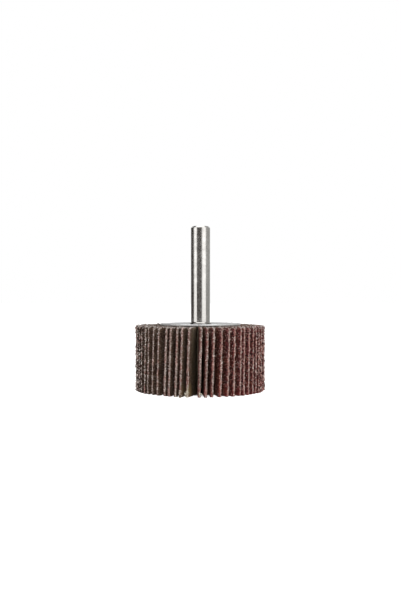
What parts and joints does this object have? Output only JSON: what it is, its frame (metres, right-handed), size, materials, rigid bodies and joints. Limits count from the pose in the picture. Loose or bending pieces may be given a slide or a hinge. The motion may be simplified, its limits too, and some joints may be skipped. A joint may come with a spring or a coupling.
{
  "type": "flap wheel",
  "caption": "Shank-mounted abrasive flap wheel: strips of abrasive cloth fanned round a resin core on a steel spindle, for sanding and blending in a drill or die grinder.",
  "frame": {"origin": "on the wheel's axis, in the plane of the flaps' open ends, on which the wheel stands", "axes": "+Z along the axis, from the flaps to the shank's free end; -Y is the side that the picture shows"},
  "size_m": [0.04, 0.04, 0.0508],
  "materials": {
    "shank_steel": "bright ground",
    "disc_steel": "satin",
    "resin": "cast, slightly glossy",
    "abrasive_cloth": "coarse grit on cloth"
  },
  "bodies": {
    "root": {"shank": "shank_steel", "end_disc": "disc_steel", "resin_core": "resin", "flap_01": "abrasive_cloth", "flap_02": "abrasive_cloth", "flap_03": "abrasive_cloth", "flap_04": "abrasive_cloth", "flap_05": "abrasive_cloth", "flap_06": "abrasive_cloth", "flap_07": "abrasive_cloth", "flap_08": "abrasive_cloth", "flap_09": "abrasive_cloth", "flap_10": "abrasive_cloth", "flap_11": "abrasive_cloth", "flap_12": "abrasive_cloth", "flap_13": "abrasive_cloth", "flap_14": "abrasive_cloth", "flap_15": "abrasive_cloth", "flap_16": "abrasive_cloth", "flap_17": "abrasive_cloth", "flap_18": "abrasive_cloth", "flap_19": "abrasive_cloth", "flap_20": "abrasive_cloth", "flap_21": "abrasive_cloth", "flap_22": "abrasive_cloth", "flap_23": "abrasive_cloth", "flap_24": "abrasive_cloth", "flap_25": "abrasive_cloth", "flap_26": "abrasive_cloth", "flap_27": "abrasive_cloth", "flap_28": "abrasive_cloth", "flap_29": "abrasive_cloth", "flap_30": "abrasive_cloth", "flap_31": "abrasive_cloth", "flap_32": "abrasive_cloth", "flap_33": "abrasive_cloth", "flap_34": "abrasive_cloth", "flap_35": "abrasive_cloth", "flap_36": "abrasive_cloth", "flap_37": "abrasive_cloth", "flap_38": "abrasive_cloth", "flap_39": "abrasive_cloth", "flap_40": "abrasive_cloth", "flap_41": "abrasive_cloth", "flap_42": "abrasive_cloth", "flap_43": "abrasive_cloth", "flap_44": "abrasive_cloth", "flap_45": "abrasive_cloth", "flap_46": "abrasive_cloth", "flap_47": "abrasive_cloth", "flap_48": "abrasive_cloth", "flap_49": "abrasive_cloth", "flap_50": "abrasive_cloth", "flap_51": "abrasive_cloth", "flap_52": "abrasive_cloth", "flap_53": "abrasive_cloth", "flap_54": "abrasive_cloth", "flap_55": "abrasive_cloth", "flap_56": "abrasive_cloth", "flap_57": "abrasive_cloth"}
  },
  "joints": []
}
